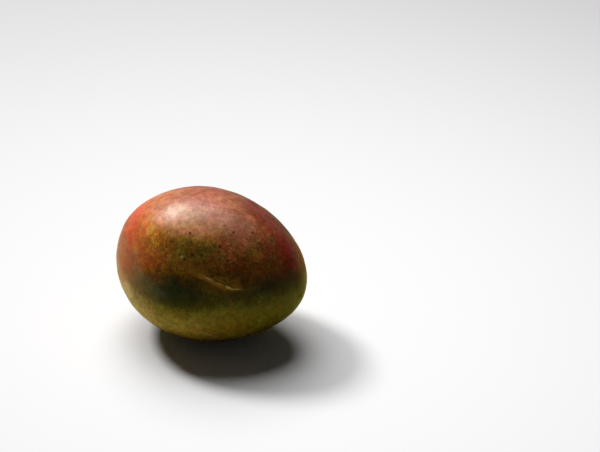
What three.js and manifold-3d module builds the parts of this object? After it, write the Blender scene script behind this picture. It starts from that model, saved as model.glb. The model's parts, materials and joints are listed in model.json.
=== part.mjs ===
// A whole mango lying on its side, as a standalone three.js model.
// Millimetres, +Z up. The fruit's long axis runs along X with the stem end at -X and the tip at +X.
// The origin is on the surface that the fruit rests on, at the middle of the model's footprint box.

import * as THREE from 'three';
import { mergeVertices } from 'three/addons/utils/BufferGeometryUtils.js';
import Module from 'manifold-3d';

const wasm = await Module();
wasm.setup();

// ---- Driving dimensions -------------------------------------------------------------------------

// The whole fruit, measured along its own axes before it leans.
const LENGTH = 115.1;
const WIDTH = 85.1;
const THICKNESS = 87.5;

// How the oval departs from an ellipsoid. Each is a share of the half-width or half-thickness.
const WIDTH_TAPER = 0.056;     // wider towards the stem end, narrower towards the tip
const THICKNESS_TAPER = 0.075; // the same, in thickness
const END_SLIMNESS = 0.077;    // both ends a little slimmer than an ellipsoid's
const STEM_SLIMNESS = 0.031;   // the stem end a little more so
const SQUARENESS = 0.055;      // how far the cross-section fills its corners
const BACK_SQUARENESS = -0.023; // less so on the back edge (+Y), more on the near edge (-Y)

// Both ends of the fruit curve away from its fuller near edge (-Y), and a little downwards.
const END_SWEEP = 3.9;
const END_RISE = -0.8;

// How the fruit leans as it lies: tip down, and rolled so that its near edge is turned up.
const TIP_DOWN = THREE.MathUtils.degToRad(4.6);
const ROLL = THREE.MathUtils.degToRad(-23.5);

// The shallow cavity at the stem end and the small raised tip at the other.
const CAVITY_DEPTH = 3.0;
const CAVITY_RADIUS = 5.0;
const TIP_HEIGHT = 0.8;
const TIP_RADIUS = 4.5;

// The crease on the near side: a narrow boat-shaped groove, pressed into the skin.
const CREASE_LENGTH = 20.0;
const CREASE_WIDTH = 3.0;
const CREASE_DEPTH = 1.2;
const CREASE_AROUND = THREE.MathUtils.degToRad(181.5); // from the back edge, over the top
const CREASE_ALONG = THREE.MathUtils.degToRad(111.5);  // from the stem end
const CREASE_TURN = THREE.MathUtils.degToRad(-13);     // its slope against the long axis

// The flat that the fruit's weight presses into its underside.
const FLAT_DEPTH = 0.6;

// The woody remnant of the stalk.
const STUB_LENGTH = 3.8;
const STUB_BASE_RADIUS = 2.9;
const STUB_NECK_RADIUS = 2.2;
const STUB_HEAD_RADIUS = 2.5;
const STUB_SEAT = 1.4;         // how far its base is set into the flesh
const STUB_SIDES = 24;
const CLEARANCE = 0.3;

// How finely the surfaces are divided.
const SEGMENTS_AROUND = 72;
const SEGMENTS_ALONG = 52;
const END_FINENESS = 0.55;     // 0 spaces the rings evenly, towards 1 crowds them at both ends
const CREASE_SEGMENTS = 24;
const MERGE_DISTANCE = 1e-4;
const SMALL_TURN = 1e-3;       // the step, in radians, by which slopes are measured

// Each piece's finish.
const SKIN = { color: 0xa0522a, roughness: 0.42, metalness: 0 };
const STALK = { color: 0x4a3726, roughness: 0.85, metalness: 0 };

// ---- Solids -------------------------------------------------------------------------------------

/** A closed manifold solid from a three.js geometry. */
function solidFrom(geometry) {
  const bare = geometry.clone();
  bare.deleteAttribute('normal');
  bare.deleteAttribute('uv');
  const merged = mergeVertices(bare, MERGE_DISTANCE);
  return new wasm.Manifold(new wasm.Mesh({
    numProp: 3,
    vertProperties: new Float32Array(merged.attributes.position.array),
    triVerts: new Uint32Array(merged.index.array),
  }));
}

/** A three.js geometry from a manifold solid. */
function geometryFrom(solid) {
  const mesh = solid.getMesh();
  const geometry = new THREE.BufferGeometry();
  geometry.setAttribute('position', new THREE.BufferAttribute(mesh.vertProperties, mesh.numProp));
  geometry.setIndex(new THREE.BufferAttribute(mesh.triVerts, 1));
  geometry.computeVertexNormals();
  return geometry;
}

// ---- The fruit's surface ------------------------------------------------------------------------

/** A soft round bump or dent: 1 at its middle, falling away to nothing past its radius. */
function swell(distance, radius) {
  return Math.exp(-((distance / radius) ** 2));
}

/**
 * A point of the skin. along runs from 0 at the stem end to pi at the tip; around runs once round the
 * long axis, from the back edge (+Y) over the top.
 */
function skinPoint(along, around) {
  const toStem = Math.cos(along);
  const towardsBack = Math.cos(around);
  const upwards = Math.sin(around);
  const girth = Math.sin(along) * (1 - END_SLIMNESS * toStem ** 2 - STEM_SLIMNESS * toStem ** 3);
  const corner = (2 * towardsBack * upwards) ** 2;
  const section = 1 + (SQUARENESS + BACK_SQUARENESS * towardsBack) * corner;
  const sweep = toStem ** 2 - 1 / 3;

  const y = (WIDTH / 2) * girth * (1 + WIDTH_TAPER * toStem) * section * towardsBack;
  const z = (THICKNESS / 2) * girth * (1 + THICKNESS_TAPER * toStem) * section * upwards;
  const fromAxis = Math.hypot(y, z);
  const endRelief = toStem > 0
    ? CAVITY_DEPTH * swell(fromAxis, CAVITY_RADIUS)
    : TIP_HEIGHT * swell(fromAxis, TIP_RADIUS);

  return new THREE.Vector3(
    -(LENGTH / 2) * toStem + endRelief,
    y + END_SWEEP * sweep,
    z + END_RISE * sweep,
  );
}

/** The skin's outward normal at a point, from two short steps along it. */
function skinNormal(along, around) {
  const lengthwise = skinPoint(along + SMALL_TURN, around).sub(skinPoint(along - SMALL_TURN, around));
  const crosswise = skinPoint(along, around + SMALL_TURN).sub(skinPoint(along, around - SMALL_TURN));
  return crosswise.cross(lengthwise).normalize();
}

/** The lean of the fruit as it lies. */
function leanMatrix() {
  return new THREE.Matrix4().makeRotationFromEuler(new THREE.Euler(ROLL, TIP_DOWN, 0, 'ZYX'));
}

/** The bare oval: a sphere's grid of vertices, each moved to its place on the skin. */
function ovalGeometry() {
  const geometry = new THREE.SphereGeometry(1, SEGMENTS_AROUND, SEGMENTS_ALONG);
  const position = geometry.attributes.position;
  const columns = SEGMENTS_AROUND + 1;
  for (let i = 0; i < position.count; i += 1) {
    const ring = Math.floor(i / columns) / SEGMENTS_ALONG;
    const along = Math.PI * ring - (END_FINENESS / 2) * Math.sin(2 * Math.PI * ring);
    const around = -2 * Math.PI * ((i % columns) / SEGMENTS_AROUND);
    const point = skinPoint(along, around);
    position.setXYZ(i, point.x, point.y, point.z);
  }
  return geometry;
}

/** The boat-shaped body that presses the crease into the near side. */
function creaseGeometry() {
  const place = skinPoint(CREASE_ALONG, CREASE_AROUND);
  const outward = skinNormal(CREASE_ALONG, CREASE_AROUND);
  const lengthwise = skinPoint(CREASE_ALONG + SMALL_TURN, CREASE_AROUND).sub(place).normalize();
  const crosswise = new THREE.Vector3().crossVectors(outward, lengthwise);
  const turned = new THREE.Matrix4().makeBasis(lengthwise, crosswise, outward);
  turned.multiply(new THREE.Matrix4().makeRotationZ(CREASE_TURN));
  turned.setPosition(place);
  return new THREE.SphereGeometry(1, CREASE_SEGMENTS, CREASE_SEGMENTS / 2)
    .scale(CREASE_LENGTH / 2, CREASE_WIDTH / 2, CREASE_DEPTH)
    .applyMatrix4(turned);
}

/** The stalk remnant's outline turned about its axis, with every side grown by the given amount. */
function stubGeometry(growth) {
  const outline = [
    [0, -growth],
    [STUB_BASE_RADIUS * 0.8 + growth, -growth],
    [STUB_BASE_RADIUS + growth, STUB_LENGTH * 0.15],
    [STUB_BASE_RADIUS * 0.92 + growth, STUB_LENGTH * 0.32],
    [STUB_NECK_RADIUS + growth, STUB_LENGTH * 0.55],
    [STUB_HEAD_RADIUS + growth, STUB_LENGTH * 0.85],
    [STUB_HEAD_RADIUS * 0.85 + growth, STUB_LENGTH + growth],
    [0, STUB_LENGTH * 0.94 + growth],
  ];
  return new THREE.LatheGeometry(outline.map(([r, h]) => new THREE.Vector2(r, h)), STUB_SIDES);
}

/** Where the stub sits: its base in the bottom of the cavity, its axis pointing out of the stem end. */
function stubPlace() {
  const bottom = skinPoint(0, 0);
  const matrix = new THREE.Matrix4().makeRotationZ(Math.PI / 2);
  matrix.setPosition(bottom.x + STUB_SEAT, bottom.y, bottom.z);
  return matrix;
}

// ---- The two pieces -----------------------------------------------------------------------------

/** The fruit with its crease, the seat of the stub and the flat that it rests on. */
function fruitGeometry() {
  const lean = leanMatrix();
  const seat = stubGeometry(CLEARANCE).applyMatrix4(stubPlace());
  const grown = solidFrom(ovalGeometry().applyMatrix4(lean))
    .subtract(solidFrom(creaseGeometry().applyMatrix4(lean)))
    .subtract(solidFrom(seat.applyMatrix4(lean)));

  const floor = new THREE.BoxGeometry(2 * LENGTH, 2 * LENGTH, LENGTH);
  floor.translate(0, 0, grown.boundingBox().min[2] + FLAT_DEPTH - LENGTH / 2);
  return geometryFrom(grown.subtract(solidFrom(floor)));
}

/** The stalk remnant, seated in the leaning fruit. */
function stemStubGeometry() {
  return geometryFrom(solidFrom(stubGeometry(0).applyMatrix4(stubPlace()).applyMatrix4(leanMatrix())));
}

/** A named piece with a finish of its own. */
function piece(name, geometry, finish) {
  const mesh = new THREE.Mesh(geometry, new THREE.MeshStandardMaterial(finish));
  mesh.name = name;
  return mesh;
}

/** Both pieces, moved so that the origin is under the middle of the whole, on the resting surface. */
function mango() {
  const group = new THREE.Group();
  group.add(piece('fruit', fruitGeometry(), SKIN));
  group.add(piece('stem_stub', stemStubGeometry(), STALK));

  const box = new THREE.Box3().setFromObject(group);
  const middle = box.getCenter(new THREE.Vector3());
  group.position.set(-middle.x, -middle.y, -box.min.z);
  return group;
}

export default mango();
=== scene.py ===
# %% [markdown]
# # A whole mango, lying on its side
#
# A mango is one smooth, heavy oval. It is fuller at the stem end, slimmer at the tip, and a little
# lopsided. The solid model gives its true size and form. This lesson dresses that model: it grows a
# fine skin over it, sculpts the crease, the stem end and the tip, and paints the skin with layers
# of procedural colour.
#
# The first step loads the solid model as a fixed frame and notes its box. Every place used below is
# worked out from that box, so nothing has to be fitted by eye afterwards.

# %% Load the frame and measure it
import json
import math

import bpy
from mathutils import Matrix, Vector

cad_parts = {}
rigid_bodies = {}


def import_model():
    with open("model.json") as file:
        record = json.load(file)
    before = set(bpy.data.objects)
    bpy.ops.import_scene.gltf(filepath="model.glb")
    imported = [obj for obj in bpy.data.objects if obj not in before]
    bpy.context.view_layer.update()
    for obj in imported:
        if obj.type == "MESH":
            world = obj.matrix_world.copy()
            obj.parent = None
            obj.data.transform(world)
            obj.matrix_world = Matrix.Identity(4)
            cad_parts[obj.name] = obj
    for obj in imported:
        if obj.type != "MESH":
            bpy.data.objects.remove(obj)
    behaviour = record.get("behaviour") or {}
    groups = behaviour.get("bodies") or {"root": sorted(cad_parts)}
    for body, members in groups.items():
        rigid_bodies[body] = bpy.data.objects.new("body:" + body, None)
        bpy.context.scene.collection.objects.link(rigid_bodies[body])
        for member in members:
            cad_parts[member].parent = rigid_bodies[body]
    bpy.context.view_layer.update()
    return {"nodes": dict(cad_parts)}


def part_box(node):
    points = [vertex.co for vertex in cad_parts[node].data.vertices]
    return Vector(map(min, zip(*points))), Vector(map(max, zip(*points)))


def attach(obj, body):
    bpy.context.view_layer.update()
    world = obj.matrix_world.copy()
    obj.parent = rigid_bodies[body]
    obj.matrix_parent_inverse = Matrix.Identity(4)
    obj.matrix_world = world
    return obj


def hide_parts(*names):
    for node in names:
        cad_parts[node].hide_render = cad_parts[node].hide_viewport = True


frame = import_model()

fruit_low, fruit_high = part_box("fruit")
fruit_middle = (fruit_low + fruit_high) / 2
fruit_size = fruit_high - fruit_low
MM = 0.001
print("fruit in mm:", [round(side / MM, 1) for side in fruit_size])

# %% [markdown]
# ## Small helpers
#
# Blender's operators act on whatever is selected and active, so each step begins by choosing one
# object and nothing else. A modifier is added, set and applied in one call, which keeps every later
# step short. Places on the fruit are given as shares of its box: 0 is the low side and 1 the high
# side.

# %% Helpers for choosing, modifying and placing


def choose(thing):
    """Make one object the only selected and active one."""
    for other in bpy.context.view_layer.objects:
        other.select_set(False)
    thing.select_set(True)
    bpy.context.view_layer.objects.active = thing


def apply_modifier(thing, kind, **settings):
    """Add a modifier, set it and apply it."""
    choose(thing)
    modifier = thing.modifiers.new(kind.title(), kind)
    for name, value in settings.items():
        setattr(modifier, name, value)
    bpy.ops.object.modifier_apply(modifier=modifier.name)


def place(x, y, z):
    """A point given as shares of the fruit's box."""
    return fruit_low + Vector((x * fruit_size.x, y * fruit_size.y, z * fruit_size.z))


print("helpers ready")

# %% [markdown]
# ## Camera
#
# A long lens keeps the oval free of distortion. The camera stands about a metre away, thirty
# degrees above the surface, with the fruit's tip turned about twenty degrees towards it. The fruit
# sits left of the middle and a little low, so the camera looks at a point on the surface behind it.

# %% Place the camera
CAMERA_TURN = math.radians(20.97)
CAMERA_RISE = math.radians(30)
CAMERA_DISTANCE = 0.99
CAMERA_AIM = Vector((0.0052, 0.1315, 0))

camera_back = Vector((
    math.sin(CAMERA_TURN) * math.cos(CAMERA_RISE),
    -math.cos(CAMERA_TURN) * math.cos(CAMERA_RISE),
    math.sin(CAMERA_RISE),
))
camera_data = bpy.data.cameras.new("camera")
camera_data.lens = 90
camera_data.sensor_width = 36
camera = bpy.data.objects.new("camera", camera_data)
camera.location = CAMERA_AIM + camera_back * CAMERA_DISTANCE
camera.rotation_euler = camera_back.to_track_quat("Z", "Y").to_euler()
bpy.context.scene.collection.objects.link(camera)
bpy.context.scene.camera = camera
print("camera at", [round(c, 3) for c in camera.location])

# %% [markdown]
# ## A paint box
#
# A material in Blender is a tree of nodes. Built by hand, even two mixed colours take a dozen
# lines, so a paint box adds the nodes and hands back the socket with the result. Its sums and mixes
# can then be nested like ordinary ones. It works in millimetres on the object itself, through the
# Object coordinates, so the paint stays put however the object is lit or seen.

# %% A paint box of node helpers


class PaintBox:
    """A material being painted. Each method adds a node or two and hands back the result's socket."""

    def __init__(self, name, specular):
        self.material = bpy.data.materials.new(name)
        self.material.use_nodes = True
        self.tree = self.material.node_tree
        self.shader = self.tree.nodes["Principled BSDF"]
        self.shader.inputs["Specular IOR Level"].default_value = specular
        coordinates = self.tree.nodes.new("ShaderNodeTexCoord")
        self.spot = self.vector("SCALE", coordinates.outputs["Object"], scale=1 / MM)

    def feed(self, socket, value):
        """Join a socket to another one, or set it to a plain value."""
        if isinstance(value, bpy.types.NodeSocket):
            self.tree.links.new(value, socket)
        else:
            socket.default_value = value

    def math(self, operation, first, second=0.0, third=0.0):
        """A sum of up to three numbers."""
        node = self.tree.nodes.new("ShaderNodeMath")
        node.operation = operation
        for socket, value in zip(node.inputs, (first, second, third)):
            self.feed(socket, value)
        return node.outputs[0]

    def vector(self, operation, first, second=(0, 0, 0), scale=1.0):
        """A sum of two vectors. Three of the operations give a number."""
        node = self.tree.nodes.new("ShaderNodeVectorMath")
        node.operation = operation
        self.feed(node.inputs[0], first)
        self.feed(node.inputs[1], second)
        if operation == "SCALE":
            node.inputs["Scale"].default_value = scale
        gives_number = operation in ("LENGTH", "DISTANCE", "DOT_PRODUCT")
        return node.outputs["Value" if gives_number else "Vector"]

    def part(self, spot, axis):
        """One coordinate of a spot: X, Y or Z."""
        node = self.tree.nodes.new("ShaderNodeSeparateXYZ")
        self.feed(node.inputs[0], spot)
        return node.outputs[axis]

    def soft(self, value, low, high):
        """0 at low, 1 at high, and an even S between. High may be the smaller one."""
        node = self.tree.nodes.new("ShaderNodeMapRange")
        node.interpolation_type = "SMOOTHSTEP"
        self.feed(node.inputs["Value"], value)
        node.inputs["From Min"].default_value = low
        node.inputs["From Max"].default_value = high
        return node.outputs[0]

    def lay(self, under, over, share, way="MIX"):
        """Lay one colour over another."""
        node = self.tree.nodes.new("ShaderNodeMix")
        node.data_type = "RGBA"
        node.blend_type = way
        self.feed(node.inputs["Factor"], share)
        for socket, colour in (("A", under), ("B", over)):
            joined = isinstance(colour, bpy.types.NodeSocket)
            self.feed(node.inputs[socket], colour if joined else (*colour, 1))
        return node.outputs["Result"]


print("paint box ready")

# %% [markdown]
# ## The surface
#
# The fruit rests on a plain white surface, and its colour carries a painted pool of light: it darkens
# gently away from the brightest spot. So much white close by would throw enough light back up to turn
# the dark green belt of the fruit grey. It could be hidden and a shadow painted in, but then the shadow
# would be wrong from every other side.
# Light Path is the better way: the camera meets the pale surface, and light on its way back to the
# fruit meets a dim, warm one, a little brighter behind the fruit on its left. Both are one surface,
# so the shadow stays true.
#
# Mirrors and glass would have to show the pale surface too. This fruit has neither, so that begins
# only a little way out, where its waxy skin doesn't pick it up.

# %% Lay the surface
SURFACE_SIZE = 8.0
SURFACE_NEAR, SURFACE_FAR = (0.98, 0.98, 0.985), (0.52, 0.51, 0.515)
BOUNCE_IN_FRONT, BOUNCE_BEHIND = (0.30, 0.28, 0.07), (0.64, 0.56, 0.32)
TO_THE_BACK_LEFT = (-1, 0.25, 0)

# places and distances on the surface, in millimetres
PAINTED_LIGHT_MIDDLE = (170, -60, 0)
DARKEST_FROM = 900
BEHIND_FROM = 160
MIRRORED_FROM, MIRRORED_FULLY = 600, 1000

bpy.ops.mesh.primitive_plane_add(size=SURFACE_SIZE, location=(0, 0, 0))
surface = bpy.context.object
surface.name = "white_surface"
paper = PaintBox("white_surface", specular=0.0)
paper.shader.inputs["Roughness"].default_value = 0.9
# painted pool of light: the colour the camera sees fades outwards from the brightest spot
away = paper.vector("DISTANCE", paper.spot, PAINTED_LIGHT_MIDDLE)
seen = paper.lay(SURFACE_NEAR, SURFACE_FAR, paper.soft(away, 0, DARKEST_FROM))
behind = paper.soft(paper.vector("DOT_PRODUCT", paper.spot, TO_THE_BACK_LEFT), 0, BEHIND_FROM)
bounce = paper.lay(BOUNCE_IN_FRONT, BOUNCE_BEHIND, behind)

ray = paper.tree.nodes.new("ShaderNodeLightPath")
mirrored = paper.math("MAXIMUM", ray.outputs["Is Glossy Ray"], ray.outputs["Is Transmission Ray"])
mirrored = paper.math("MULTIPLY", mirrored, paper.soft(away, MIRRORED_FROM, MIRRORED_FULLY))
pale = paper.math("MAXIMUM", ray.outputs["Is Camera Ray"], mirrored)
paper.feed(paper.shader.inputs["Base Color"], paper.lay(bounce, seen, pale))
surface.data.materials.append(paper.material)
print("surface laid, metres across:", SURFACE_SIZE)

# %% [markdown]
# ## Lamps
#
# Light falls on the fruit from behind and from its left, and the side towards the camera lies in
# half shade. Two round lamps do this better than one. The smaller one draws the edge of the shadow
# and the bright spot on the shoulder, and the broad one, higher up, fills in the rest softly.

# %% Hang the lamps
LAMP_DISTANCE = 2.2
ROOM_GLOW = 0.03


def hang_lamp(name, from_behind, rise, width, power):
    """A disc lamp aimed at the fruit, turned from straight behind it to the left, in degrees."""
    turn = CAMERA_TURN + math.radians(from_behind)
    rise = math.radians(rise)
    direction = Vector((
        -math.sin(turn) * math.cos(rise),
        math.cos(turn) * math.cos(rise),
        math.sin(rise),
    ))
    data = bpy.data.lights.new(name, "AREA")
    data.shape = "DISK"
    data.size = width
    data.energy = power
    lamp = bpy.data.objects.new(name, data)
    lamp.location = fruit_middle + direction * LAMP_DISTANCE
    lamp.rotation_euler = direction.to_track_quat("Z", "Y").to_euler()
    bpy.context.scene.collection.objects.link(lamp)


hang_lamp("lamp_small", 53, 50, 0.5, 30.0)
hang_lamp("lamp_broad", 14, 64, 1.7, 36.0)

world = bpy.data.worlds.new("studio")
bpy.context.scene.world = world
world.use_nodes = True
background = world.node_tree.nodes["Background"]
background.inputs["Color"].default_value = (1, 1, 1, 1)
background.inputs["Strength"].default_value = ROOM_GLOW
bpy.context.scene.view_settings.view_transform = "Standard"
print("two lamps hung")

# %% [markdown]
# ## The body of the fruit
#
# The skin has to be one even mesh with no poles, so that every later bump and fold has the same
# fineness all over. A sphere would pinch at two points. A cube that is subdivided until it is round
# has four-sided faces of nearly one size everywhere, so the skin starts as a cube of the fruit's
# own size. Shrinkwrap then lays it on the solid, and a little smoothing melts away the solid's flat
# facets.

# %% Helpers for wrapping


def merged_copy(node):
    """A copy of a solid's mesh with its loose triangles joined, to wrap things on."""
    copy = frame["nodes"][node].copy()
    copy.data = copy.data.copy()
    copy.parent = None
    copy.name = node + "_form"
    bpy.context.scene.collection.objects.link(copy)
    choose(copy)
    bpy.ops.object.mode_set(mode="EDIT")
    bpy.ops.mesh.select_all(action="SELECT")
    bpy.ops.mesh.remove_doubles(threshold=0.01 * MM)
    bpy.ops.object.mode_set(mode="OBJECT")
    return copy


def wrap_on(thing, form):
    apply_modifier(thing, "SHRINKWRAP", target=form, wrap_method="NEAREST_SURFACEPOINT")


def subdivide(thing, levels):
    apply_modifier(thing, "SUBSURF", levels=levels, render_levels=levels)


def smooth(thing, rounds):
    apply_modifier(thing, "SMOOTH", factor=0.5, iterations=rounds)


fruit_form = merged_copy("fruit")
print("points to wrap the skin on:", len(fruit_form.data.vertices))

# %% Wrap a rounded cube around the solid fruit
bpy.ops.mesh.primitive_cube_add(size=1, location=fruit_middle, scale=fruit_size)
skin = bpy.context.object
skin.name = "mango_skin"
bpy.ops.object.transform_apply(location=True, rotation=True, scale=True)

subdivide(skin, 3)
wrap_on(skin, fruit_form)
subdivide(skin, 2)
smooth(skin, 4)
wrap_on(skin, fruit_form)
smooth(skin, 4)
subdivide(skin, 2)
print("skin faces:", len(skin.data.polygons))

# %% [markdown]
# ## Low dents and orange peel
#
# No mango is a perfect oval. Its skin rides over low swellings a few centimetres wide, and closer
# to it has a fine orange-peel texture. Both could be faked with bump in the material, but they show
# in the way the highlight breaks up and in the outline, so they are real displacement. They fade
# out towards the surface, where the fruit's own weight presses it flat.

# %% Swell and roughen the skin
CLEAR_OF_SURFACE = "clear_of_surface"


def roll_skin(name, spacing, height):
    """Raise and lower the skin in soft clouds this far apart, by this much."""
    clouds = bpy.data.textures.new(name, "CLOUDS")
    clouds.noise_scale = spacing
    clouds.noise_depth = 1
    apply_modifier(
        skin, "DISPLACE", texture=clouds, texture_coords="LOCAL", mid_level=0.5, strength=height,
        vertex_group=CLEAR_OF_SURFACE,
    )


everywhere = range(len(skin.data.vertices))
skin.vertex_groups.new(name=CLEAR_OF_SURFACE).add(everywhere, 1.0, "REPLACE")
apply_modifier(
    skin, "VERTEX_WEIGHT_PROXIMITY", vertex_group=CLEAR_OF_SURFACE, target=surface,
    proximity_mode="GEOMETRY", proximity_geometry={"FACE"}, min_dist=1 * MM, max_dist=8 * MM,
)
roll_skin("low_dents", 17 * MM, 0.9 * MM)
roll_skin("swellings", 6 * MM, 0.16 * MM)
roll_skin("orange_peel", 1.5 * MM, 0.06 * MM)
print("lowest point of the skin in mm:", round(min(v.co.z for v in skin.data.vertices) / MM, 3))

# %% [markdown]
# ## Marks pressed into the skin
#
# Several features are long, shallow marks: the crease on the near side, the folds around the stalk,
# the pit at the tip. They could be sculpted by hand, but each would then be a one-off. Here each is
# pressed with a Displace modifier whose texture is a soft ball of influence. An empty carries the
# ball: stretched along the mark it becomes boat-shaped, deepest in the middle and fading to nothing
# at its rim. The same frame is used again later to paint the mark, so shape and colour always
# agree.

# %% Helpers for marks


def frame_on_skin(start, end):
    """A frame halfway between two places: X runs along the mark and Z points out of the skin."""
    spot, outward = skin.closest_point_on_mesh((start + end) / 2)[1:3]
    along = end - start
    along = (along - along.project(outward)).normalized()
    across = outward.cross(along)
    frame_axes = Matrix((along, across, outward)).transposed().to_4x4()
    frame_axes.translation = spot
    return frame_axes


def press(name, mark, size, depth):
    """Push the skin in around a mark, or out where depth is negative.

    Size is the mark's length and width and its reach through the skin.
    """
    guide = bpy.data.objects.new(name, None)
    guide.matrix_world = mark @ Matrix.Diagonal((size[0] / 2, size[1] / 2, size[2] / 2, 1))
    bpy.context.scene.collection.objects.link(guide)
    bpy.context.view_layer.update()
    ball = bpy.data.textures.new(name, "BLEND")
    ball.progression = "SPHERICAL"
    ball.use_color_ramp = True
    ball.color_ramp.interpolation = "EASE"
    apply_modifier(
        skin, "DISPLACE", texture=ball, texture_coords="OBJECT", texture_coords_object=guide,
        mid_level=0.0, strength=-depth,
    )
    bpy.data.objects.remove(guide)


def beside(mark, step):
    """The same mark, moved sideways over the skin: up where the step is positive."""
    moved = mark.copy()
    moved.translation = mark.translation + mark.col[1].to_3d() * step
    return moved


print("marks can be pressed")

# %% [markdown]
# ## The shoulder and the crease
#
# The shoulder nearest the light is a little swollen, which spreads the highlight over it. On the
# near side is the crease, an old growth scar where the skin folds in on itself. Its upper wall
# drops away, its lower lip stands slightly proud and catches the light, and near the middle of the
# fruit it bends and runs out. One stroke could follow a curve, but two straight marks that meet at
# the bend are simpler and look the same.

# %% Swell the shoulder, press the crease and raise its lip
shoulder = frame_on_skin(place(0.33, 0.23, 0.87), place(0.39, 0.23, 0.885))
press("shoulder", shoulder, (44 * MM, 24 * MM, 26 * MM), -1.1 * MM)

crease_start = place(0.622, 0.091, 0.669)
crease_bend = place(0.735, 0.124, 0.595)
crease_end = place(0.792, 0.175, 0.581)
crease = frame_on_skin(crease_start, crease_bend)
crease_tail = frame_on_skin(crease_bend, crease_end)
press("crease", beside(crease, 1.0 * MM), (19 * MM, 3.0 * MM, 8 * MM), 0.25 * MM)
press("crease_lip", beside(crease, -0.8 * MM), (20 * MM, 3.0 * MM, 8 * MM), -0.4 * MM)
press("crease_tail", beside(crease_tail, 0.6 * MM), (9 * MM, 2.0 * MM, 6 * MM), 0.2 * MM)
print("crease pressed, mm long:", round((crease_end - crease_start).length / MM, 1))

# %% [markdown]
# ## The stem end and the tip
#
# At the stem end the skin puckers: short folds run out from the stalk like the gathers of a
# drawstring bag. At the other end a small corky pit marks where the flower's stigma once stood.
# Both are more of the same marks, set out in a loop with slightly uneven turns and lengths, because
# nothing that grows is evenly spaced.

# %% Fold the skin around the stalk and press the pit at the tip
stalk_low, stalk_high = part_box("stem_stub")
stalk_middle = (stalk_low + stalk_high) / 2
FOLDS = 7
FOLD_START, FOLD_END = 3.4 * MM, 12 * MM

for fold in range(FOLDS):
    turn = 2 * math.pi * (fold + 0.25 * math.sin(5 * fold)) / FOLDS
    outwards = Vector((0, math.cos(turn), math.sin(turn)))
    longer = 1 + 0.25 * math.sin(3 * fold)
    fold_start = stalk_middle + outwards * FOLD_START
    mark = frame_on_skin(fold_start, stalk_middle + outwards * FOLD_END * longer)
    press("stem_fold", mark, (12 * MM * longer, 3.4 * MM, 9 * MM), 0.6 * MM)

tip_place = place(0.992, 0.49, 0.40)
tip = frame_on_skin(tip_place - Vector((0, 1, 0)) * MM, tip_place + Vector((0, 1, 0)) * MM)
press("tip_ring", tip, (7 * MM, 6 * MM, 7 * MM), -0.3 * MM)
press("tip_pit", tip, (2.6 * MM, 2.2 * MM, 4 * MM), 0.7 * MM)
choose(skin)
bpy.ops.object.shade_smooth()
skin.vertex_groups.clear()
bpy.data.objects.remove(fruit_form)
print("folds around the stalk:", FOLDS)

# %% [markdown]
# ## The stalk
#
# A picked mango keeps a short plug of its stalk: woody, waisted, and broken off rough. It could be
# turned like a chess piece with Spin. Drawing it out from a small disc, ring by ring, the way a
# potter draws up a neck, needs no seam to be closed afterwards. Its broken end is inset and sunk
# like a scar.

# %% Draw out the stalk ring by ring
# radii, heights and steps are in millimetres
FOOT_RADIUS = 2.3
STALK_RINGS = (
    # height and radius
    (0.6, 2.75), (1.2, 2.60), (2.0, 2.15), (2.8, 2.25), (3.4, 2.38), (3.75, 2.15),
)
BROKEN_END = (
    # how far each ring is inset, and how far it is then sunk
    (0.45, 0.1), (0.6, 0.45), (0.6, 0.0),
)

bpy.ops.mesh.primitive_circle_add(
    vertices=20, radius=FOOT_RADIUS * MM, fill_type="NGON", location=(0, 0, 0),
)
stalk = bpy.context.object
stalk.name = "stalk_plug"
bpy.ops.object.mode_set(mode="EDIT")
bpy.ops.mesh.select_all(action="SELECT")
height, radius = 0.0, FOOT_RADIUS
for next_height, next_radius in STALK_RINGS:
    rise = (0, 0, (next_height - height) * MM)
    bpy.ops.mesh.extrude_region_move(TRANSFORM_OT_translate={"value": rise})
    spread = next_radius / radius
    bpy.ops.transform.resize(value=(spread, spread, 1), center_override=(0, 0, next_height * MM))
    height, radius = next_height, next_radius
for inset, sunk in BROKEN_END:
    bpy.ops.mesh.inset(thickness=inset * MM)
    bpy.ops.transform.translate(value=(0, 0, -sunk * MM))
bpy.ops.mesh.select_all(action="SELECT")
bpy.ops.mesh.normals_make_consistent(inside=False)
bpy.ops.object.mode_set(mode="OBJECT")
subdivide(stalk, 3)
print("stalk faces:", len(stalk.data.polygons))

# %% [markdown]
# ## The bark of the stalk
#
# Dry bark is ridged along its length. Clouds that are stretched along the stalk, by an empty that
# is taller than it is wide, raise such ridges all round. Only then is the stalk laid over and set
# in the stem end, so that its ridges run its own way and not the fruit's.

# %% Raise the bark and set the stalk in its place
BARK_STRETCH = 3.5
STALK_LENGTH = 3.8 * MM
STALK_RISE = math.radians(4.6)

bark_guide = bpy.data.objects.new("bark_guide", None)
bark_guide.scale = (1, 1, BARK_STRETCH)
bpy.context.scene.collection.objects.link(bark_guide)
bpy.context.view_layer.update()
bark = bpy.data.textures.new("bark", "CLOUDS")
bark.noise_scale = 0.8 * MM
bark.noise_depth = 2
apply_modifier(
    stalk, "DISPLACE", texture=bark, texture_coords="OBJECT", texture_coords_object=bark_guide,
    mid_level=0.6, strength=0.5 * MM,
)
bpy.data.objects.remove(bark_guide)

choose(stalk)
stalk.rotation_euler = (0, STALK_RISE - math.pi / 2, 0)
stalk_axis = Vector((-math.cos(STALK_RISE), 0, math.sin(STALK_RISE)))
stalk.location = stalk_middle - stalk_axis * STALK_LENGTH / 2
bpy.ops.object.transform_apply(location=True, rotation=True, scale=True)
bpy.ops.object.shade_smooth()
print("stalk set in the stem end")
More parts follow.
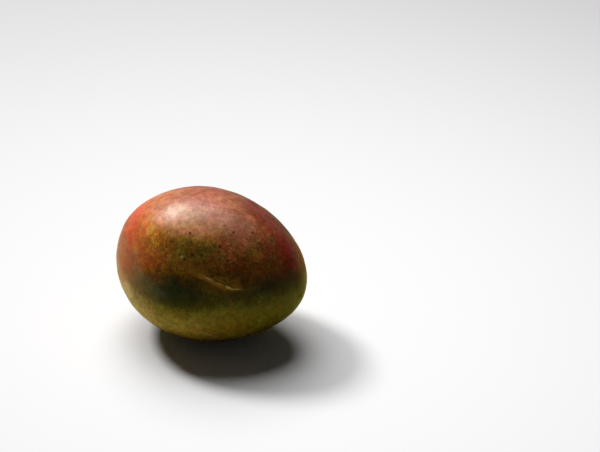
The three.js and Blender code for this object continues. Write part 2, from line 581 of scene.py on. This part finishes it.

# %% [markdown]
# ## Colours of the skin
#
# The cheek that grew in the sun is blushed: rose on top, vermilion at the stem end, dull red
# towards the tip. Below the blush the skin turns through brown olive into a belt of very dark
# green, then brightens into the yellow green of the shaded cheek. One run of colour up the fruit
# can't say all that, so there are five from the stem end to the tip, and one more for the back,
# which grew in full sun and has no dark belt.

# %% Name the skin's colours
# the paler rose is partly painted highlight, where the shine on the top spreads
ROSE, ROSE_WITH_PAINTED_HIGHLIGHT = (0.50, 0.15, 0.085), (0.61, 0.26, 0.10)
CORAL, SCARLET = (0.74, 0.11, 0.055), (0.66, 0.085, 0.012)
BRICK, CRIMSON, DEEP_RED = (0.44, 0.075, 0.003), (0.23, 0.065, 0.013), (0.14, 0.011, 0.004)
AMBER, RUSSET = (0.69, 0.205, 0.03), (0.28, 0.12, 0.008)
BROWN_OLIVE, UMBER = (0.22, 0.10, 0.005), (0.09, 0.045, 0.001)
BELT_GREEN, OLIVE = (0.030, 0.036, 0.0004), (0.34, 0.27, 0.035)
YELLOW_OLIVE, STRAW = (0.64, 0.44, 0.16), (0.96, 0.70, 0.42)
MOSS, LEAF_GREEN, SHADED_BROWN = (0.30, 0.25, 0.035), (0.20, 0.17, 0.02), (0.26, 0.15, 0.05)
print("skin colours named")

# %% [markdown]
# ## Runs of colour up the fruit
#
# Each run lists heights in millimetres, as the fruit lies, with the colour there. Blender's Color
# Ramp blends from stop to stop, so a wide gap makes a slow change, and two stops close together
# make a quick one. The dark belt needs its stops closest, because the skin goes from yellow to
# nearly black in a finger's width.

# %% Write down the runs
STEM_END = (
    (6, LEAF_GREEN), (14, SHADED_BROWN), (22, YELLOW_OLIVE), (29, STRAW), (36, STRAW),
    (43, (0.56, 0.26, 0.09)), (50, BRICK), (60, BRICK), (68, SCARLET), (78, CORAL), (90, ROSE),
)
LEFT = (
    (6, LEAF_GREEN), (12, SHADED_BROWN), (17, YELLOW_OLIVE), (22, STRAW), (33, STRAW),
    (37, YELLOW_OLIVE), (41.5, RUSSET), (45.5, (0.17, 0.09, 0.001)), (51, (0.14, 0.075, 0.001)),
    (57, (0.33, 0.09, 0.003)), (63, (0.46, 0.10, 0.008)), (70, (0.53, 0.15, 0.017)),
    # the pale stop at 82 mm is partly painted highlight, under the shine on the shoulder
    (76, AMBER), (82, (0.66, 0.24, 0.105)), (89, ROSE),
)
MIDDLE = (
    (6, LEAF_GREEN), (15, SHADED_BROWN), (23, YELLOW_OLIVE), (31, YELLOW_OLIVE),
    (35.5, (0.48, 0.34, 0.08)), (39, OLIVE), (42.5, (0.10, 0.095, 0.003)), (46, BELT_GREEN),
    (52.5, BELT_GREEN), (56, UMBER), (61, BROWN_OLIVE), (73, BROWN_OLIVE),
    # the pale rose at 81 mm is partly painted highlight
    (77, (0.40, 0.16, 0.015)), (81, ROSE_WITH_PAINTED_HIGHLIGHT), (87, (0.54, 0.20, 0.10)), (90, ROSE),
)
RIGHT = (
    (6, LEAF_GREEN), (16, SHADED_BROWN), (26, (0.36, 0.23, 0.045)), (35, (0.42, 0.27, 0.038)),
    (39.5, OLIVE), (45, (0.13, 0.11, 0.003)), (49.5, (0.10, 0.075, 0.002)), (54, (0.31, 0.155, 0.010)),
    (60, (0.17, 0.08, 0.002)), (67, (0.34, 0.12, 0.022)), (74, (0.37, 0.12, 0.030)),
    (79, (0.37, 0.12, 0.040)), (86, (0.38, 0.11, 0.06)),
)
TIP_END = (
    (6, LEAF_GREEN), (16, (0.17, 0.12, 0.02)), (24, (0.23, 0.17, 0.035)), (33, MOSS),
    (40, (0.25, 0.215, 0.025)), (46, (0.08, 0.06, 0.002)), (50, (0.035, 0.022, 0.001)),
    (54.5, (0.09, 0.028, 0.002)), (60, (0.27, 0.08, 0.018)), (68, CRIMSON), (78, (0.21, 0.055, 0.012)),
    (88, (0.36, 0.08, 0.04)),
)
BACK = (
    (6, LEAF_GREEN), (22, MOSS), (34, AMBER), (48, BRICK), (64, DEEP_RED), (78, (0.20, 0.018, 0.008)),
    (87, (0.36, 0.085, 0.05)),
)
print("stops in the runs:", [len(run) for run in (STEM_END, LEFT, MIDDLE, RIGHT, TIP_END, BACK)])

# %% [markdown]
# ## More paint box: clouds, runs and patches
#
# Fruit is coloured by how it grew, so its paint needs more than plain mixes: random spots, runs of
# colour up the fruit, patches at a place, and the pressed marks again. Every layer reads its clouds
# from a different part of space. Otherwise the dark spots of one layer would lie on the dark spots
# of the next, and the skin would look printed.

# %% A paint box for grown things


class FruitPaint(PaintBox):
    """A paint box with clouds, runs of colour, patches and marks."""

    def __init__(self, name, specular):
        super().__init__(name, specular)
        self.layers = 0

    def noise_node(self, size, detail, stretch):
        self.layers += 1
        node = self.tree.nodes.new("ShaderNodeTexNoise")
        node.inputs["Scale"].default_value = 1 / size
        node.inputs["Detail"].default_value = detail
        stretched = self.vector("MULTIPLY", self.spot, stretch)
        self.feed(node.inputs["Vector"], self.vector("ADD", stretched, (41.0 * self.layers, 0, 0)))
        return node

    def noise(self, size, detail=2.0, stretch=(1, 1, 1)):
        """Soft random spots about this many millimetres apart, from 0 to 1 and mostly near a half."""
        return self.noise_node(size, detail, stretch).outputs[0]

    def jitter(self, spot, size, reach, detail=2.0):
        """The same spot, moved about at random by up to the reach."""
        wander = self.noise_node(size, detail, (1, 1, 1)).outputs[1]
        centred = self.vector("SUBTRACT", wander, (0.5, 0.5, 0.5))
        return self.vector("ADD", spot, self.vector("SCALE", centred, scale=2 * reach))

    def cells(self, spacing, spot, feature="F1"):
        """A node of random cells about this many millimetres wide."""
        node = self.tree.nodes.new("ShaderNodeTexVoronoi")
        node.feature = feature
        node.inputs["Scale"].default_value = 1 / spacing
        self.feed(node.inputs["Vector"], spot)
        return node

    def heights(self, height, stops):
        """A run of colours up the fruit. Each stop is a height in millimetres and the colour there."""
        node = self.tree.nodes.new("ShaderNodeValToRGB")
        ramp = node.color_ramp
        top = 100.0
        ramp.elements[0].position = stops[0][0] / top
        ramp.elements[0].color = (*stops[0][1], 1)
        ramp.elements[1].position = stops[-1][0] / top
        ramp.elements[1].color = (*stops[-1][1], 1)
        for stop, colour in stops[1:-1]:
            ramp.elements.new(stop / top).color = (*colour, 1)
        self.feed(node.inputs[0], self.math("DIVIDE", height, top))
        return node.outputs[0]

    def patch(self, spot, centre, size, fade=0.6):
        """1 inside a soft egg-shaped patch and 0 outside. Size is its reach each way, in millimetres."""
        offset = self.vector("SUBTRACT", spot, tuple(centre / MM))
        distance = self.vector("LENGTH", self.vector("DIVIDE", offset, size))
        return self.soft(distance, 1.0, 1.0 - fade)

    def in_mark(self, spot, mark):
        """Where a spot is within a pressed mark: along it, across it and out of the skin."""
        node = self.tree.nodes.new("ShaderNodeMapping")
        node.vector_type = "TEXTURE"
        self.feed(node.inputs["Vector"], spot)
        node.inputs["Location"].default_value = mark.translation / MM
        node.inputs["Rotation"].default_value = mark.to_euler()
        return node.outputs[0]

    def finish(self, colour, roughness, bump_height, strength, depth):
        """Join the colour, the roughness and a fine bump to the shader."""
        bump = self.tree.nodes.new("ShaderNodeBump")
        bump.inputs["Strength"].default_value = strength
        bump.inputs["Distance"].default_value = depth
        self.feed(bump.inputs["Height"], bump_height)
        self.feed(self.shader.inputs["Base Color"], colour)
        self.feed(self.shader.inputs["Roughness"], roughness)
        self.feed(self.shader.inputs["Normal"], bump.outputs[0])


print("paint box for fruit ready")

# %% [markdown]
# ## The ground colours
#
# On a real skin no colour ends in a straight line. The bands wander, and their edges break up into
# grains, because the colours of a mango mix like coloured dust. So the place itself is jittered
# before its height is read: once broadly, which makes the bands wander, and once finely, which
# breaks their edges. That is simpler than painting the edges, and every later layer that reads the
# same jittered place agrees with it.

# %% Lay the ground colours
skin_paint = FruitPaint("mango_skin", specular=0.42)
wandering = skin_paint.jitter(skin_paint.spot, 9.0, 5.0, detail=3)
broken = skin_paint.jitter(wandering, 2.0, 1.7, detail=3)

height = skin_paint.part(broken, "Z")
lengthwise = skin_paint.part(broken, "X")
backwards = skin_paint.part(broken, "Y")
ground = skin_paint.heights(height, STEM_END)
for run, place_along, low, high in (
    (LEFT, lengthwise, -42, -26), (MIDDLE, lengthwise, -26, -8), (RIGHT, lengthwise, 7, 24),
    (TIP_END, lengthwise, 27, 43), (BACK, backwards, -2, 18),
):
    share = skin_paint.soft(place_along, low, high)
    ground = skin_paint.lay(ground, skin_paint.heights(height, run), share)
print("ground colours laid")

# %% [markdown]
# ## Local patches
#
# Leaves, branches and neighbours leave their own marks on a fruit: ochre flecks on the blush, a greenish
# patch in the middle, a deeper crimson round the tip end. Some patches are painted light instead: a pale
# patch on the shoulder is a painted highlight, a rose haze on top is a painted reflection, and the
# crimson at the tip end is partly painted shade. Each is a soft egg-shaped patch at a place on the
# fruit, laid over the ground. A table of them is easier to tune than a chain of nodes.

# %% Lay the local patches
LOCAL_PATCHES = (
    # what it is, its middle, its reach in millimetres, its colour and how much of it
    ("stem_face", place(0.0, 0.55, 0.50), (11, 32, 28), (0.50, 0.16, 0.02), 0.65),
    ("left_rim", place(0.06, 0.36, 0.68), (9, 22, 22), (0.43, 0.06, 0.025), 0.7),
    # painted highlight: a pale cream patch where the shine on the shoulder spreads
    ("painted_highlight", place(0.41, 0.28, 0.94), (17, 12, 8), (0.66, 0.33, 0.165), 0.7),
    ("ochre_spot", place(0.289, 0.218, 0.844), (3.5, 4.5, 3.5), (0.80, 0.42, 0.08), 0.8),
    ("ochre_streak", place(0.335, 0.162, 0.807), (4.5, 6, 4.5), (0.62, 0.30, 0.02), 0.75),
    ("ochre_fleck", place(0.224, 0.172, 0.700), (3.5, 5, 3), (0.62, 0.24, 0.04), 0.6),
    ("russet_cheek", place(0.45, 0.10, 0.74), (9, 7, 6), (0.33, 0.11, 0.006), 0.5),
    ("green_middle", place(0.54, 0.13, 0.79), (12, 9, 9), (0.13, 0.092, 0.002), 0.6),
    ("green_fleck", place(0.62, 0.17, 0.82), (6, 6, 4), (0.15, 0.10, 0.003), 0.6),
    # the two crimson patches at the tip end are partly deep red skin and partly painted shade
    ("crimson_rim_and_painted_shade", place(0.94, 0.58, 0.68), (15, 22, 22), (0.28, 0.010, 0.006), 0.9),
    ("crimson_top_and_painted_shade", place(0.78, 0.62, 0.86), (18, 15, 13), (0.27, 0.032, 0.020), 0.75),
    ("plum", place(0.76, 0.21, 0.71), (10, 10, 8), (0.26, 0.07, 0.009), 0.5),
    ("bruise", place(0.79, 0.18, 0.61), (5, 5, 4), (0.08, 0.026, 0.002), 0.6),
    ("ochre_blush", place(0.81, 0.29, 0.76), (6, 6, 3.5), (0.52, 0.25, 0.03), 0.6),
    # painted reflection: a pale rose haze on top, where a second shine falls
    ("painted_reflection", place(0.71, 0.38, 0.90), (14, 13, 9), (0.43, 0.16, 0.095), 0.7),
)
colour = ground
for name, centre, reach, paint, share in LOCAL_PATCHES:
    there = skin_paint.patch(broken, centre, reach)
    colour = skin_paint.lay(colour, paint, skin_paint.math("MULTIPLY", there, share))
print("local patches:", [row[0] for row in LOCAL_PATCHES])

# %% [markdown]
# ## Mottling
#
# Close to, the skin is a cloud of small blotches, redder here and greener there. Where the blush
# thins out into green they mix the most, and the rosy top and the pale belly are calmer. Each layer
# below multiplies the colour under it, which keeps dark skin dark and never adds a haze. The first
# two change the hue, and the next two the brightness, at sizes from about 6 millimetres down to the
# width of a grain of sand.

# %% Mottle the skin
past_stem_end = skin_paint.soft(lengthwise, -34, -14)
below_blush = skin_paint.math("MULTIPLY", skin_paint.soft(height, 82, 72), past_stem_end)
mixed_zone = skin_paint.math("MULTIPLY", below_blush, skin_paint.soft(height, 35, 46))
MOTTLING = (
    # size, detail, where it turns over, two tints, its share and what the mixed zone adds to it
    (6.5, 4, 0.38, 0.62, (1.18, 0.84, 1.05), (0.82, 1.10, 0.85), 0.3, 0.45),
    (1.7, 3, 0.38, 0.62, (1.14, 0.90, 1.02), (0.88, 1.09, 0.92), 0.1, 0.4),
    (3.6, 4, 0.36, 0.64, (0.84, 0.80, 0.76), (1.15, 1.18, 1.18), 1.0, 0.0),
    (1.3, 4, 0.36, 0.64, (0.70, 0.66, 0.60), (1.28, 1.32, 1.36), 0.3, 0.7),
)
for size, detail, low, high, first_tint, second_tint, least, added in MOTTLING:
    clouds = skin_paint.soft(skin_paint.noise(size, detail), low, high)
    tint = skin_paint.lay(first_tint, second_tint, clouds)
    share = skin_paint.math("MULTIPLY_ADD", mixed_zone, added, least)
    colour = skin_paint.lay(colour, tint, share, "MULTIPLY")
print("layers of mottling:", len(MOTTLING))

# %% [markdown]
# ## Pale veins and flecks
#
# Over the mottling runs a faint net of paler lines, broken in many places, with small paler flecks
# between. Voronoi cells give the net: the distance to a cell's edge is smallest along its rim. A
# cloud then rubs most of the net away again, so that it never looks like tiles.

# %% Draw the veins and the flecks
vein_cells = skin_paint.cells(4.2, skin_paint.jitter(skin_paint.spot, 3.0, 1.5), "DISTANCE_TO_EDGE")
vein = skin_paint.soft(vein_cells.outputs["Distance"], 0.09, 0.02)
vein = skin_paint.math("MULTIPLY", vein, skin_paint.soft(skin_paint.noise(9.0), 0.40, 0.60))
vein = skin_paint.math("MULTIPLY", vein, past_stem_end)
colour = skin_paint.lay(colour, (1.30, 1.38, 1.45), skin_paint.math("MULTIPLY", vein, 0.7), "MULTIPLY")
flecks = skin_paint.soft(skin_paint.noise(2.2, detail=3), 0.58, 0.72)
colour = skin_paint.lay(colour, (1.05, 1.3, 0.95), skin_paint.math("MULTIPLY", flecks, 0.4), "MULTIPLY")
print("veins and flecks drawn")

# %% [markdown]
# ## The colours of the crease, with painted shade and highlight
#
# An old scar is corky: tan along its lip and yellowish where it ends. The dark strokes in the fold above
# the lip are painted shade, and the bright ones on the lip are pale cork with a painted highlight.
# Broad, faint strokes come first and narrow, bright ones last, as a painter would do it. They are
# laid in the crease's own frame, along and across it, so they follow the pressed shape exactly. A
# little jitter and an uneven brightness keep them from looking ruled.

# %% Paint the crease


def stroke(spot, mark, start, end, low, high, fade):
    """A stroke along a mark: between two places along it and two across it, in millimetres.

    The last of its sides keeps it near the skin, so that it doesn't show on the far side of the fruit.
    """
    within = skin_paint.in_mark(spot, mark)
    along = skin_paint.part(within, "X")
    across = skin_paint.part(within, "Y")
    sides = (
        skin_paint.soft(along, start, start + 4 * fade), skin_paint.soft(along, end, end - 4 * fade),
        skin_paint.soft(across, low, low + fade), skin_paint.soft(across, high, high - fade),
        skin_paint.soft(skin_paint.part(within, "Z"), -12, -8),
    )
    share = sides[0]
    for side in sides[1:]:
        share = skin_paint.math("MULTIPLY", share, side)
    return share


STROKES = (
    # mark, from and to along it, low and high across it, fade, colour and how much of it
    (crease, -21, -4, -4.0, 5.0, 4.0, (0.33, 0.16, 0.020), 0.55),
    (crease, -16, 15, -8.0, 2.0, 4.0, (0.25, 0.125, 0.004), 0.6),
    # painted shade in the fold above the lip
    (crease, -7, -3, 0.2, 1.8, 0.8, (0.05, 0.012, 0.002), 0.6),
    (crease, -2, 7, 0.4, 1.8, 0.8, (0.07, 0.03, 0.002), 0.25),
    (crease, -22, 9, -3.4, 3.4, 2.4, (0.38, 0.17, 0.020), 0.6),
    (crease, -14, 9, -2.6, 1.2, 1.4, (0.56, 0.25, 0.040), 1.0),
    # pale cork on the lip and its yellow end, with a painted highlight along it
    (crease, -8.6, -1.8, -0.9, 0.8, 0.7, (1.0, 0.56, 0.30), 0.95),
    (crease, -1.4, 4.6, -0.9, 0.8, 0.7, (1.0, 0.55, 0.15), 0.9),
    (crease, 3.6, 10.2, -0.8, 1.2, 0.7, (1.0, 0.78, 0.34), 1.0),
    (crease_tail, -4.0, 3.6, -0.9, 0.7, 0.7, (1.0, 0.68, 0.24), 0.9),
)
crease_spot = skin_paint.jitter(skin_paint.spot, 3.5, 0.7)
brightness = skin_paint.soft(skin_paint.noise(1.6, detail=2), 0.20, 0.50)
for mark, start, end, low, high, fade, paint, share in STROKES:
    there = stroke(crease_spot, mark, start, end, low, high, fade)
    there = skin_paint.math("MULTIPLY", there, brightness)
    colour = skin_paint.lay(colour, paint, skin_paint.math("MULTIPLY", there, share))
print("strokes on the crease:", len(STROKES))

# %% [markdown]
# ## Pores
#
# The skin breathes through pale pores two or three millimetres apart, and towards the tip it is
# peppered with darker grains as well. Dots in even rows would look printed. Voronoi cells are
# spaced like living ones: each cell gets one dot at its heart, and the cell's own random colour
# says how strong that dot is.

# %% Add the pores and the pepper
pores = skin_paint.cells(2.8, skin_paint.jitter(skin_paint.spot, 2.0, 0.5))
pore = skin_paint.soft(pores.outputs["Distance"], 0.24, 0.10)
pore_strength = skin_paint.soft(skin_paint.part(pores.outputs["Color"], "X"), 0.45, 1.0)
pore = skin_paint.math("MULTIPLY", pore, pore_strength)
colour = skin_paint.lay(colour, (1.7, 1.9, 2.0), skin_paint.math("MULTIPLY", pore, 0.7), "MULTIPLY")

pepper = skin_paint.cells(3.6, skin_paint.jitter(skin_paint.spot, 1.2, 0.4))
grain = skin_paint.soft(pepper.outputs["Distance"], 0.20, 0.08)
grain_strength = skin_paint.soft(skin_paint.part(pepper.outputs["Color"], "Y"), 0.3, 0.9)
towards_tip = skin_paint.soft(lengthwise, -25, 20)
for share in (towards_tip, grain_strength, 0.7):
    grain = skin_paint.math("MULTIPLY", grain, share)
colour = skin_paint.lay(colour, (0.45, 0.36, 0.36), grain, "MULTIPLY")
print("pores and pepper added")

# %% [markdown]
# ## Corky specks
#
# Here and there sap or a rubbing leaf has left a dark corky speck, and near the middle sits one
# pale scab. Random dots would give the right number, but a fruit is known by where its specks are.
# They are few enough to list, each with its place and width. The place is moved to the nearest spot
# of the skin, so the list need not be exact, and jitter makes the specks ragged.

# %% Add the corky specks
SPECKS = (
    # where, and how wide in millimetres
    (place(0.51, 0.39, 0.99), 1.3), (place(0.51, 0.20, 0.89), 1.5), (place(0.70, 0.31, 0.89), 1.6),
    (place(0.65, 0.32, 0.92), 0.9), (place(0.65, 0.47, 0.95), 0.9), (place(0.77, 0.39, 0.86), 1.3),
    (place(0.483, 0.113, 0.776), 1.4), (place(0.543, 0.126, 0.787), 1.7), (place(0.66, 0.21, 0.83), 1.8),
    (place(0.62, 0.18, 0.83), 1.0), (place(0.71, 0.18, 0.76), 1.5), (place(0.41, 0.05, 0.62), 1.3),
    (place(0.81, 0.37, 0.81), 1.0), (place(0.93, 0.44, 0.67), 1.1), (place(0.51, 0.10, 0.76), 1.3),
    (place(0.59, 0.14, 0.79), 1.2), (place(0.65, 0.11, 0.67), 1.4), (place(0.56, 0.11, 0.75), 0.8),
    (place(0.49, 0.20, 0.88), 0.8), (place(0.53, 0.19, 0.88), 0.8), (place(0.73, 0.20, 0.74), 0.9),
    (place(0.30, 0.70, 0.93), 1.3), (place(0.62, 0.93, 0.62), 1.4), (place(0.40, 0.90, 0.70), 1.0),
)
SCAB = place(0.495, 0.105, 0.77)


def dab(under, paint, centre, size, share, way="MIX"):
    """Dab a little ragged patch of paint on the skin. Size is its reach each way, in millimetres."""
    there = skin_paint.patch(ragged, centre, size, fade=0.7)
    return skin_paint.lay(under, paint, skin_paint.math("MULTIPLY", there, share), way)


def nearest_on_skin(where):
    return skin.closest_point_on_mesh(where)[1]


ragged = skin_paint.jitter(skin_paint.spot, 0.9, 0.5)
for where, width in SPECKS:
    size = (width * 0.8,) * 3
    colour = dab(colour, (0.16, 0.12, 0.12), nearest_on_skin(where), size, 0.85, "MULTIPLY")
colour = dab(colour, (0.62, 0.42, 0.32), nearest_on_skin(SCAB), (1.3, 1.1, 1.1), 0.8)
print("specks:", len(SPECKS), "and one scab")

# %% [markdown]
# ## Stains and painted shade at both ends
#
# Sap dries dark in the folds around the stalk, and the pit at the tip is corky and nearly black.
# The folds and the pit already throw a little shade of their own, but not enough at this size, so one
# broad soft stain and one small ragged dab settle both ends: partly dried sap and cork, partly painted
# shade.

# %% Stain and shade the stem end and the tip
# dried sap around the stalk, darkened further as painted shade in its folds
stem_stain_and_shade = skin_paint.patch(broken, stalk_middle, (9, 9, 9), fade=0.8)
colour = skin_paint.lay(colour, (0.05, 0.03, 0.008), skin_paint.math("MULTIPLY", stem_stain_and_shade, 0.85))
# corky pit at the tip, nearly black, partly painted shade
colour = dab(colour, (0.02, 0.012, 0.004), tip.translation, (2.6, 2.4, 2.4), 0.85)
print("stem end and tip stained")

# %% [markdown]
# ## The waxy surface
#
# A mango carries a thin natural wax: satin, rubbed a little unevenly, and smoother where the skin
# is green than on the blush. Roughness carries all of that, so no separate coat is needed. The
# finest grain and the sunken pores are too small for the mesh, so they are a bump of less than a
# tenth of a millimetre.

# %% Give the skin its waxy surface
ROUGHNESS, UNEVENNESS, SMOOTHER_GREEN = 0.35, 0.08, 0.13
GREEN_BELOW, BLUSH_ABOVE = 57, 68

sheen_spots = skin_paint.soft(skin_paint.noise(5.0, detail=3), 0.3, 0.7)
roughness = skin_paint.math("MULTIPLY_ADD", sheen_spots, UNEVENNESS, ROUGHNESS)
green = skin_paint.soft(height, BLUSH_ABOVE, GREEN_BELOW)
smoother = skin_paint.math("MULTIPLY", green, SMOOTHER_GREEN)
roughness = skin_paint.math("SUBTRACT", roughness, smoother)
skin_grain = skin_paint.math("SUBTRACT", skin_paint.noise(0.7, detail=2), pore)
skin_paint.finish(colour, roughness, skin_grain, strength=0.5, depth=0.08 * MM)
skin.data.materials.append(skin_paint.material)
print("nodes in the skin's paint:", len(skin_paint.tree.nodes))

# %% [markdown]
# ## Dry stalk
#
# The stalk is dead wood: matt, dark brown on its ridges, nearly black in its cracks, and paler
# where it broke off. Noise that is stretched along the stalk gives the fibres. The same fibres
# drive the colour, the roughness and the bump, because on real wood all three change together.

# %% Paint the stalk
stalk_paint = FruitPaint("dry_stalk", specular=0.25)
fibres = stalk_paint.noise(0.7, detail=4, stretch=(0.25, 1, 1))
wood = stalk_paint.lay((0.035, 0.02, 0.01), (0.20, 0.115, 0.055), stalk_paint.soft(fibres, 0.35, 0.68))
end_place = stalk_middle + stalk_axis * STALK_LENGTH / 2
broken_end = stalk_paint.patch(stalk_paint.spot, end_place, (1.1, 2.0, 2.0), fade=0.5)
wood = stalk_paint.lay(wood, (0.24, 0.16, 0.09), stalk_paint.math("MULTIPLY", broken_end, 0.5))
nearly_matt = stalk_paint.soft(fibres, 2.2, 0.2)
stalk_paint.finish(wood, nearly_matt, fibres, strength=0.6, depth=0.15 * MM)
stalk.data.materials.append(stalk_paint.material)
print("nodes in the stalk's paint:", len(stalk_paint.tree.nodes))

# %% [markdown]
# ## Finish
#
# Each dressed piece takes the place of its solid and rides on the one body, since nothing on a
# mango moves.

# %% Finish
for thing, node, slot in ((skin, "fruit", "skin"), (stalk, "stem_stub", "stalk")):
    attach(thing, "root")
    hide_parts(node)
